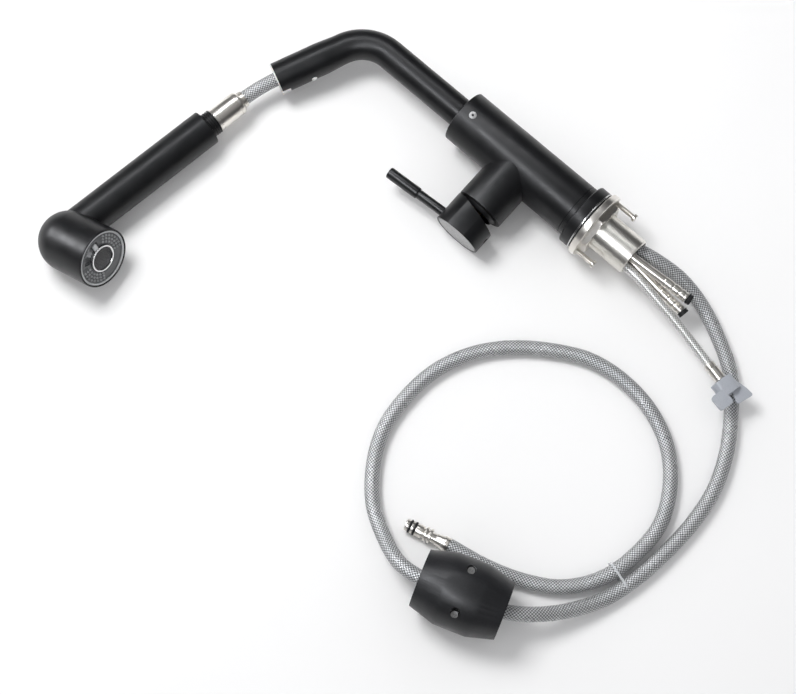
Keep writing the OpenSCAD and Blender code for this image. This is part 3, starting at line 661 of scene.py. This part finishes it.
turned("dome_cover", on_barrel(0),
       [(BARREL_BORE - 0.05, 50.2), (BARREL_BORE - 0.05, 50.65), (16.7, 50.8)]
       + on_dome(DOME_R, 9.0, 12.1, 8) + [(13.5, 54.2)] + on_dome(DOME_R - 1.45, 10.1, 8.4, 5),
       SOFT_BLACK, "tap_body", ["dome_trim"], 96, True)
turned("dome_pin_hole",
       on_barrel(DOME_Y) @ spin(58, "Z") @ spin(49, "Y") @ shift(0, 0, DOME_R - 0.05),
       [(0.01, -0.5), (0.5, -0.5), (0.75, 0.1), (1.05, 0.15), (1.1, -0.1)],
       RUBBER, "tap_body", sides=24)

# ---- Fixing under the deck ----


def threaded(radius, depth, pitch, low, high, sides=96, step=8):
    """Rows of a screw thread round +Z, which fades out at both ends."""
    z = np.arange(low, high, pitch / step)
    angle = np.linspace(0, 2 * np.pi, sides, endpoint=False)
    phase = (z[:, None] / pitch - angle[None, :] / (2 * np.pi)) % 1
    crest = np.clip(1.6 * np.abs(2 * phase - 1) - 0.2, 0, 1)
    fade = np.clip((z - low) / pitch, 0, 1) * np.clip((high - z) / pitch, 0, 1)
    r = radius - depth + depth * crest * fade[:, None]
    return np.stack([r * np.cos(angle), r * np.sin(angle), z[:, None] + 0 * angle], 2)


def ring_rows(profile, sides=96):
    """The rows of a plain lathe, to stack with the rows of a thread."""
    angle = np.linspace(0, 2 * np.pi, sides, endpoint=False)
    return np.array([[(r * math.cos(a), r * math.sin(a), z) for a in angle] for r, z in profile])


shank_rows = np.concatenate([
    ring_rows([(SHANK_BORE, -20), (SHANK_BORE, SHANK_END + 0.7), (SHANK_BORE + 0.2, SHANK_END + 0.3),
               (SHANK_BORE + 0.6, SHANK_END), (SHANK_R - 1, SHANK_END), (SHANK_R - 0.7, SHANK_END + 0.5)]),
    threaded(SHANK_R, 0.08, 1.5, SHANK_END + 0.7, -0.4),
    ring_rows([(SHANK_R - 0.8, -0.2)]),
])
piece("threaded_shank", placed(along_x(0), grid(shank_rows)),
      THREAD_NICKEL, "tap_body", ["shank"], degrees=50)
turned("shank_liner", along_x(0), [(SHANK_BORE, -30), (SHANK_BORE - 0.1, -5), (SHANK_BORE - 0.1, 9.5)],
       THREAD_NICKEL, "tap_body")
turned("bright_washer", along_x(0), [(27, -1.15), (27, -0.1), (16.5, -0.1), (16.5, -1.15)],
       STEEL, "fixing_nut", ["steel_washer"], 128, True, 0.25)
turned("soft_washer", along_x(0), [(26, -2.55), (26, -1.25), (16.4, -1.25), (16.4, -2.55)],
       RUBBER, "fixing_nut", ["rubber_washer"], 128, True, 0.45)


def six_sided(r, angle, z):
    """Radius of a chamfered hexagon below the flange, and of a plain disc above it."""
    flats = NUT_FLAT / np.cos(np.radians((np.degrees(angle) % 60) - 30))
    limit = np.where(z < NUT_BEVEL_Z, NUT_CORNER - 1.8 * (NUT_BEVEL_Z - z), NUT_CORNER)
    return np.where((z < -8.3) & (r > SHANK_R + 1), np.minimum(flats, limit), r)


turned("flanged_nut", along_x(0),
       [(16.5, -2.7), (28.4, -2.7), (28.9, -3.1), (28.95, -3.6), (28.95, -7.2), (28.8, -7.8),
        (28.2, -8.15), (24, -8.2), (NUT_CORNER, -8.35), (NUT_CORNER, -9), (NUT_CORNER, NUT_BEVEL_Z),
        (NUT_CORNER, -12.6), (NUT_CORNER, -13.1), (20.5, -13.2), (16.9, -13.2), (16.2, -12.7),
        (SHANK_R + 0.08, -12.3), (SHANK_R + 0.08, -3)],
       NICKEL, "fixing_nut", ["mounting_nut"], 192, True, 0, six_sided, 24)


def slotted_head(radius, low, high, slot, cross=False):
    """A round screw head on a thin disc, cut by one slot or by two that cross."""
    parts = [lathe(
        [(0.01, low), (radius - 0.1, low), (radius, low + 0.1), (radius, low + 0.55),
         (radius - 0.05, low + 0.6), (0.01, low + 0.6)], 48)]
    half = slot / 2
    edge = math.asin(half / radius)
    last = math.pi / 2 - edge if cross else math.pi - edge
    for turn in (0, 90, 180, 270) if cross else (0, 180):
        outline = [(radius * math.cos(t), radius * math.sin(t)) for t in np.linspace(edge, last, 14)]
        if cross:
            outline.append((half, half))
        crown = [(x * 0.93, y * 0.93 + (0 if cross else half * 0.07)) for x, y in outline]
        if cross:
            crown[-1] = (half, half)
        n = len(outline)
        foot = [(x, y, low + 0.5) for x, y in outline]
        shoulder = [(x, y, high - 0.35) for x, y in outline]
        top = [(x, y, high) for x, y in crown]
        faces = [[k * n + i, k * n + (i + 1) % n, (k + 1) * n + (i + 1) % n, (k + 1) * n + i]
                 for k in (0, 1) for i in range(n)]
        faces += [list(range(n))[::-1], list(range(2 * n, 3 * n))]
        flat_uv = np.zeros((sum(map(len, faces)), 2))
        parts.append(placed(spin(turn, "Z"), (np.array(foot + shoulder + top), faces, flat_uv)))
    return join(*parts)


screws = []
for side in (-CLAMP_Y, CLAMP_Y):
    head = placed(spin(180, "Y") @ shift(0, 0, -2.4), slotted_head(3.2, 0, 2.4, 0.8))
    stem = grid(np.concatenate([
        ring_rows([(1.7, 2.3), (1.7, 2.5)], 28),
        threaded(2.15, 0.32, 0.8, 2.6, 23.2, 28, 6),
        ring_rows([(1.7, 23.4), (1.2, 24.1), (0.05, 24.15)], 28),
    ]))
    screws += [placed(along_x(CLAMP_END, side), head), placed(along_x(CLAMP_END, side), stem)]
piece("clamping_screws", join(*screws), NICKEL, "fixing_nut", ["clamp_screws"], degrees=40)

# ---- Bright inlet stubs with crimped ends ----

# Each stub's centreline below the water block, and the tip of the seal in its end
HOT_ROUTE = [(-20, 2, 4.7), (-30, 2, 4.7), (-46, 2, 4.7), (-62, 0.8, 3.6), (-80, -0.8, 2.1), (-99, -2, 1)]
HOT_TIP = (-102.5, -2.9, 0.4)
COLD_ROUTE = [(-20, 2, -4.7), (-30, 2, -4.7), (-46, 2, -4.7), (-62, 3.3, -5.2), (-80, 5.1, -5.9),
              (-102, 6.4, -6.4)]
COLD_TIP = (-105.5, 6.9, -6.8)
# Distance from a stub's end and radius there: a lip, two crimped collars and the plain tube
STUB_STEPS = np.array([
    (0, 3.6), (0.4, 4.1), (2.2, 4.2), (2.5, 3.9), (3.0, 3.9), (3.3, 4.2), (6.5, 4.2),
    (6.9, 3.75), (8.1, 3.75), (8.5, 4.2), (13, 4.2), (13.4, 3.8), (14.4, 3.8), (14.8, 4.15),
    (22, 4.15), (22.6, 3.8), (200, 3.8),
])


def stub(route):
    """A tube along route whose radius follows STUB_STEPS."""
    path, run = resampled(route, 0.35)
    return sweep(path, np.interp(run[-1] - run, STUB_STEPS[:, 0], STUB_STEPS[:, 1]), 48)


def end_seal(start, tip):
    axis = Vector(tip) - Vector(start)
    m = Matrix.Translation(start) @ axis.to_track_quat("Z", "Y").to_matrix().to_4x4()
    return placed(m, lathe(
        [(0.01, 0.02), (4.25, 0.05), (4.35, 0.3), (4.35, 1.1), (4.0, 1.3), (4.0, 1.9), (4.35, 2.1),
         (4.35, 3.0), (4.1, 3.4), (2.6, 3.45), (2.4, 3.2), (2.4, 1.5), (0.01, 1.5)], 40))


piece("hot_stub", stub(HOT_ROUTE), NICKEL, "tap_body", ["hot_inlet_tube"])
piece("cold_stub", stub(COLD_ROUTE), NICKEL, "tap_body", ["cold_inlet_tube"])
piece("stub_seals", join(end_seal(HOT_ROUTE[-1], HOT_TIP), end_seal(COLD_ROUTE[-1], COLD_TIP)),
      RUBBER, "tap_body", ["inlet_seals"])

# ---- Handle ----

refined("handle_cap_casting", "handle_cap", BLACK, "handle", 0.5, 3)
turned("cap_end_disc", on_barrel(CAP_END_Y),
       [(0.01, -0.12), (18.4, -0.12), (18.9, -0.2), (19.2, -0.5), (19.25, -0.8)],
       SATIN, "handle", ["handle_end_plate"])
refined("handle_set_screw", "handle_grub_screw", SATIN, "handle", 0.2)
turned("lever_stem", LEVER,
       [(ROD_R - 0.1, 9.1), (ROD_R, 9.4), (ROD_R, 44.9), (ROD_R - 0.2, 45.3), (ROD_R - 0.25, 46.0)],
       LEVER_BLACK, "handle", ["lever_rod"], 64)
turned("lever_sleeve", LEVER,
       [(3.8, 46.0), (4.4, 46.05), (4.7, 46.4), (LEVER_R, 47.0), (LEVER_R, 74.9), (4.72, 75.4),
        (4.4, 75.85), (3.9, 76.0), (3.2, 75.9), (2.9, 75.6), (0.01, 75.5)],
       LEVER_BLACK, "handle", ["lever_grip"], 64)

# ---- Spout: outside and inside of one tube, swelling towards its mouth ----


def spout_centreline():
    """Points up the straight, round the bend and down the leg, and how many come before the leg."""
    straight = [(x, 0, 0) for x in np.arange(98, CORNER_X - TANGENT, 4)]
    arc = [(CORNER_X - TANGENT + BEND_R * math.sin(a), BEND_R * (1 - math.cos(a)), 0)
           for a in np.radians(np.linspace(0, TURN, 40))]
    turn_cos, turn_sin = math.cos(math.radians(TURN)), math.sin(math.radians(TURN))
    steps = np.r_[np.arange(0.8, LEG_STRAIGHT - 1.2, 0.8), LEG_STRAIGHT - 1.0]
    leg = [(CORNER_X + (TANGENT + s) * turn_cos, (TANGENT + s) * turn_sin, 0) for s in steps]
    return np.array(straight + arc + leg), len(straight) + len(arc)


def spout_skin():
    """The outside down to the mouth, then back up the bore for a little way."""
    centre, bent = spout_centreline()
    swell = np.clip(np.r_[np.zeros(bent), np.arange(len(centre) - bent) * 0.8 / SWELL_L], 0, 1)
    swell = swell * swell * (3 - 2 * swell)
    outer = SPOUT_R + MOUTH_SWELL * swell
    outer[-1] -= 0.25
    back = slice(len(centre) - 1, len(centre) - 36, -1)
    inner = np.interp(np.arange(35), [0, 1, 34], [12.75, 12.7, 12.7])
    side, up = carried_frames(centre)
    path, side, up = (np.vstack([rows, rows[back]]) for rows in (centre, side, up))
    angle = np.linspace(0, 2 * np.pi, 128, endpoint=False)
    radii = np.r_[outer, inner][:, None, None]
    return grid(path[:, None] + radii * spokes(angle, side, up))


piece("angled_spout", placed(ROLLED, spout_skin()), BLACK, "spout", ["spout_tube"],
      degrees=40)
refined("spout_mouth_bush", "spout_bush", NYLON, "spout", 0.22)

# ---- Hose end and nut at the spray ----

turned("crimped_ferrule", HANDSET,
       [(5.6, -CRIMP_Z), (6.6, -CRIMP_Z), (7.1, -38.7), (7.2, -38.2), (7.2, -37.5), (6.8, -37.2),
        (6.8, -36.9), (7.2, -36.6), (7.2, -35.5), (6.9, -35.1), (5.0, -35.0)],
       NICKEL, "hose_end", ["hose_crimp"], 64)
turned("hose_nut_turned", HANDSET,
       [(5.0, -35.0), (8.2, -35.0), (8.5, -34.8), (9.75, -33.2), (NUT_R, -32.7)]
       + groove(NUT_R, -30.2, -29.3, 0.25) + groove(NUT_R, -11.5, -10.6, 0.25)
       + [(NUT_R, -8.4), (9.7, -8.1), (6.5, -8.05), (6.45, 9.5)],
       NICKEL, "hose_end", ["hose_nut"])

# ---- Handset ----

handle_tube = lathe(
    [(10.2, 0.35), (10.9, 0.2), (GRIP_R - 1.1, 0.2), (GRIP_R - 0.4, 0.35), (GRIP_R - 0.05, 0.9),
     (GRIP_R, 1.5), (GRIP_R, SPRAY_L - 8)], 128)
ball = [(HEAD_R * math.sin(a), -HEAD_R * math.cos(a)) for a in np.radians(np.linspace(0.5, 90, 44))]
head_shape = lathe(
    ball + [(HEAD_R, HEAD_L - 1.2), (HEAD_R - 0.08, HEAD_L - 0.6), (HEAD_R - 0.35, HEAD_L - 0.15),
            (HEAD_R - 0.8, HEAD_L), (FACE_R + 0.3, HEAD_L - 0.05), (FACE_R + 0.05, HEAD_L - 0.35),
            (FACE_R, HEAD_L - 0.9), (FACE_R, HEAD_L - 5)], 128)
piece("spray_housing", join(placed(HANDSET, handle_tube), placed(HEAD, head_shape)),
      SPRAY_BLACK, "handset", ["spray_shell"])
ribs = [(6.62, 8), (6.62, -7.9)]
for z in (-8, -6, -4, -2):
    ribs += [(10.3, z + 0.05), (10.6, z + 0.25), (10.6, z + 0.95), (10.4, z + 1.2), (10.05, z + 1.35),
             (10.05, z + 1.9)]
turned("ribbed_collar", HANDSET, ribs + [(10.2, 0.3)], SOFT_BLACK, "handset", ["spray_collar"])
turned("face_bezel", HEAD,
       [(FACE_R - 0.05, HEAD_L - 4.3), (FACE_R - 0.05, HEAD_L - 0.9), (FACE_R - 0.3, HEAD_L - 0.5),
        (22.0, HEAD_L - 0.45), (21.7, HEAD_L - 0.8), (21.65, HEAD_L - 4.3)],
       FACE_GREY, "handset", ["face_ring"], 128, True, 0.12)
refined("face_disc", "face_plate", FACE_DARK, "handset", 0.3)

JET = [(1.05, -0.1), (1.0, 0.12), (0.82, 0.25), (0.7, 0.85), (0.58, 1.0), (0.36, 1.0), (0.28, 0.85),
       (0.25, 0.3), (0.01, 0.3)]
# Two fans of jets in three rows, each fan between two angles, with one more jet in each row outwards
JET_FANS, INNER_ROW_R, ROW_STEP = ((-22, 62), (166, 250)), 14, 2.7
jets = []
for first, last in JET_FANS:
    for row in range(3):
        in_row = 6 + row
        for step in range(in_row):
            turn = first + (last - first) * (step + 0.5) / in_row
            place = HEAD @ spin(turn, "Z") @ shift(INNER_ROW_R + ROW_STEP * row, 0, HEAD_L - 1.4)
            jets.append(placed(place, lathe(JET, 16)))
piece("rubber_jets", join(*jets), JET_RUBBER, "handset", ["spray_nozzles"])


def scalloped(r, angle, _height):
    """36 shallow finger notches round the aerator's rim, the same at every height."""
    return np.where(r > 11.3, r - 0.16 * (0.5 - 0.5 * np.cos(36 * angle)), r)


turned("aerator_rim", HEAD,
       [(11.55, HEAD_L - 4.7), (11.55, HEAD_L - 0.3), (11.3, HEAD_L + 0.1), (10.9, HEAD_L + 0.2),
        (10.2, HEAD_L + 0.15), (9.95, HEAD_L - 0.2), (9.9, HEAD_L - 1.8), (0.01, HEAD_L - 1.9)],
       STEEL, "mode_ring", ["aerator_ring"], 216, wave=scalloped)
refined("mode_lever_tab", "mode_tab", FACE_GREY, "mode_ring", 0.5, 3)

MESH_R, MESH_STEP, WIRE_R = 9.8, 0.9, 0.16
wires = []
for turn in (0, 90):
    for x in np.arange(-9, 9.1, MESH_STEP):
        reach = math.sqrt(MESH_R ** 2 - x * x)
        y = np.linspace(-reach, reach, max(4, int(reach * 4)))
        phase = 0 if turn else np.pi
        wave = 0.14 * np.sin(np.pi * (y / MESH_STEP + round(x / MESH_STEP)) + phase)
        wire = np.stack([np.full_like(y, x), y, HEAD_L - 1.1 + wave], 1)
        wires.append(placed(HEAD @ spin(turn, "Z"), sweep(wire, WIRE_R, 6)))
piece("aerator_gauze", join(*wires), GAUZE, "mode_ring", ["aerator_mesh"])
turned("aerator_back", HEAD, [(0.01, HEAD_L - 1.55), (5, HEAD_L - 1.56), (9.85, HEAD_L - 1.6)],
       SOFT_BLACK, "mode_ring", sides=64)

# ---- Weight, tie and plug on the spray hose ----

for half in ("weight_upper", "weight_lower"):
    refined(half + "_shell", half + "_half", WEIGHT_GREY, "tap_body", 0.6, 3, crease=13)
bolts = []
for y, seat in WEIGHT_SEATS:
    m = WEIGHT @ shift(0, y, 0)
    stem = grid(np.concatenate([
        ring_rows([(0.05, -13.8), (1.2, -13.7)], 24),
        threaded(1.55, 0.25, 0.8, -13.5, seat - 0.5, 24, 6),
        ring_rows([(1.3, seat + 0.1)], 24),
    ]))
    bolts += [placed(m @ shift(0, 0, seat), slotted_head(3, 0, 2.2, 0.7, True)), placed(m, stem)]
weight_bolts = piece(
    "weight_bolts", join(*bolts), STEEL, "tap_body", ["weight_screws"], degrees=40)
tie = refined("hose_tie_strap", "hose_tie", CLEAR, "tap_body", 0.1)
plug_cuff = turned(
    "plug_cuff", PLUG,
    [(5.7, -0.3), (5.9, 0.2), (5.9, 1.3), (5.6, 1.5), (5.6, 1.9), (5.9, 2.1), (5.9, 4.4), (5.7, 4.9),
     (5.2, 5.05), (4.4, 10.9), (3.8, 11.0)],
    NICKEL, "tap_body", ["plug_ferrule"], 64)
plug = turned(
    "hose_plug", PLUG,
    [(3.8, 10.9), (3.8, 15), (5.9, 15), (5.9, 17), (4.4, 17), (4.4, 18.6), (5.9, 18.6), (5.9, 20.6),
     (4.0, 20.6), (4.0, 22), (5.1, 22), (5.1, 28), (3.9, 28), (3.9, 30), (5.1, 30), (5.1, 32),
     (3.9, 32), (3.9, 34), (4.7, 34), (4.7, 36.4), (4.2, 37), (2.9, 37), (2.8, 36.6), (2.8, 20)],
    NICKEL, "tap_body", ["quick_plug"], 72, soft=0.3)
SEAL_R, SEAL_WIRE = 4.75, 0.85
seal_section = [(SEAL_R + SEAL_WIRE * math.cos(a), SEAL_WIRE * math.sin(a))
                for a in np.linspace(0, 2 * np.pi, 20, endpoint=False)]
rings = [placed(PLUG @ shift(0, 0, z), lathe(seal_section, 64, True)) for z in (29, 33)]
seals = piece("plug_sealing_rings", join(*rings), RUBBER, "tap_body", ["plug_o_rings"])

# ---- Ferrule, connector and clip on the outlet hose ----

outlet_cuff = turned(
    "outlet_cuff", CONNECTOR,
    [(3.4, -0.2), (4.2, -0.15), (4.45, 0.15), (4.5, 0.5), (4.5, 3.6), (4.4, 3.9), (4.1, 4.0), (3.0, 4.0)],
    NICKEL, "tap_body", ["outlet_ferrule"], 64)
connector = turned(
    "socket_connector", CONNECTOR,
    [(3.3, 3.9), (3.4, 4.8), (4.7, 4.8), (4.7, 13.6), (4.45, 13.7), (4.45, 14.2), (4.7, 14.3),
     (4.7, 15.3), (4.2, 15.3), (4.2, 25.3), (2.6, 25.3), (2.6, 10)],
    NICKEL, "tap_body", ["quick_connector"], 72, soft=0.25)
clip = refined("release_clip", "connector_clip", CLIP_GREY, "clip", 0.5, 3)

# ---- Materials of the CAD pieces that stay ----

STAYS = {
    "water_block": BRASS, "cartridge_nut": BRASS, "cartridge_stem": BRASS, "swivel_sleeve": BRASS,
    "cartridge_body": NYLON, "cartridge_turner": NYLON, "glide_rings": NYLON, "check_valve": NYLON,
    "water_tube": NYLON, "cartridge_seals": RUBBER, "diverter": SOFT_BLACK,
    "hose_in_body": NYLON_BRAID, "hose_in_spout": NYLON_BRAID,
}
for node, mat in STAYS.items():
    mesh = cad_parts[node].data
    mesh.materials.clear()
    mesh.materials.append(mat)
    smooth(mesh)

# ---- Table and studio light, in metres ----

TABLE_Z, TABLE_HALF = -0.0291, 6
table_mat = Nodes("pale_table")
table_tone = table_mat.span(table_mat.noise(3), 0, 1)
table_mat.set(Base_Color=table_mat.mix(table_tone, (0.93, 0.93, 0.93), (0.95, 0.95, 0.95)),
              Roughness=0.9, Specular_IOR_Level=0.1)
corners = [(x * TABLE_HALF, y * TABLE_HALF, TABLE_Z) for x, y in ((-1, -1), (1, -1), (1, 1), (-1, 1))]
table_mesh = bpy.data.meshes.new("table_top")
table_mesh.from_pydata(corners, [], [(0, 1, 2, 3)])
table_mesh.materials.append(table_mat.material)
table = bpy.data.objects.new("table_top", table_mesh)
bpy.context.scene.collection.objects.link(table)


def soft_light(name, position, target, size, power, shade=(1, 1, 1), seen="all"):
    """An oblong lamp. seen is all, matt for soft light only, or gloss for reflections only."""
    data = bpy.data.lights.new(name, "AREA")
    data.shape, data.size, data.size_y = "RECTANGLE", size[0], size[1]
    data.energy, data.color = power, shade
    lamp = bpy.data.objects.new(name, data)
    bpy.context.scene.collection.objects.link(lamp)
    lamp.location = position
    lamp.visible_glossy = seen != "matt"
    lamp.visible_diffuse = seen != "gloss"
    lamp.rotation_euler = (Vector(target) - Vector(position)).to_track_quat("-Z", "Y").to_euler()


COOL, MILD = (0.94, 0.96, 1.0), (0.96, 0.97, 1.0)
soft_light("key", (0.74, 0.17, 1.28), (0.02, 0.13, 0), (0.55, 0.55), 13.5, seen="matt")
soft_light("near_strip", (0.3, 0.76, 1.35), (0.05, 0.1, 0), (1.8, 0.16), 20, COOL, seen="gloss")
soft_light("side_strip", (0.85, -0.15, 1.2), (0.1, 0.15, 0), (1.3, 0.22), 8, MILD, seen="gloss")
soft_light("side_box", (1.5, 0.75, 0.72), (0.3, 0.29, 0), (0.5, 0.5), 16, MILD, seen="gloss")
soft_light("far_strip", (0.05, -0.6, 1.2), (0.05, 0.1, 0), (1.5, 0.15), 0.5, COOL, seen="gloss")


def studio_world(strength):
    """An even pale room, which reflections see as darker and graded from below to above."""
    world = bpy.data.worlds.new("studio")
    bpy.context.scene.world = world
    world.use_nodes = True
    tree = world.node_tree
    background = tree.nodes["Background"]
    coords = tree.nodes.new("ShaderNodeTexCoord")
    split = tree.nodes.new("ShaderNodeSeparateXYZ")
    tree.links.new(coords.outputs["Generated"], split.inputs[0])
    ramp = tree.nodes.new("ShaderNodeValToRGB")
    tree.links.new(split.outputs[2], ramp.inputs[0])
    bottom, top = ramp.color_ramp.elements
    bottom.position, bottom.color = 0.0, (0.25, 0.25, 0.26, 1)
    top.position, top.color = 1.0, (0.32, 0.32, 0.32, 1)
    for at, level in ((0.22, 0.05), (0.5, 0.06), (0.7, 0.24)):
        element = ramp.color_ramp.elements.new(at)
        element.color = (level, level, level * 1.02, 1)
    rays = tree.nodes.new("ShaderNodeLightPath")
    blend = tree.nodes.new("ShaderNodeMix")
    blend.data_type = "RGBA"
    blend.inputs[6].default_value = (0.86, 0.86, 0.87, 1)
    tree.links.new(rays.outputs["Is Glossy Ray"], blend.inputs[0])
    tree.links.new(ramp.outputs[0], blend.inputs[7])
    tree.links.new(blend.outputs[2], background.inputs[0])
    background.inputs[1].default_value = strength


studio_world(0.7)
bpy.context.scene.view_settings.view_transform = "Standard"
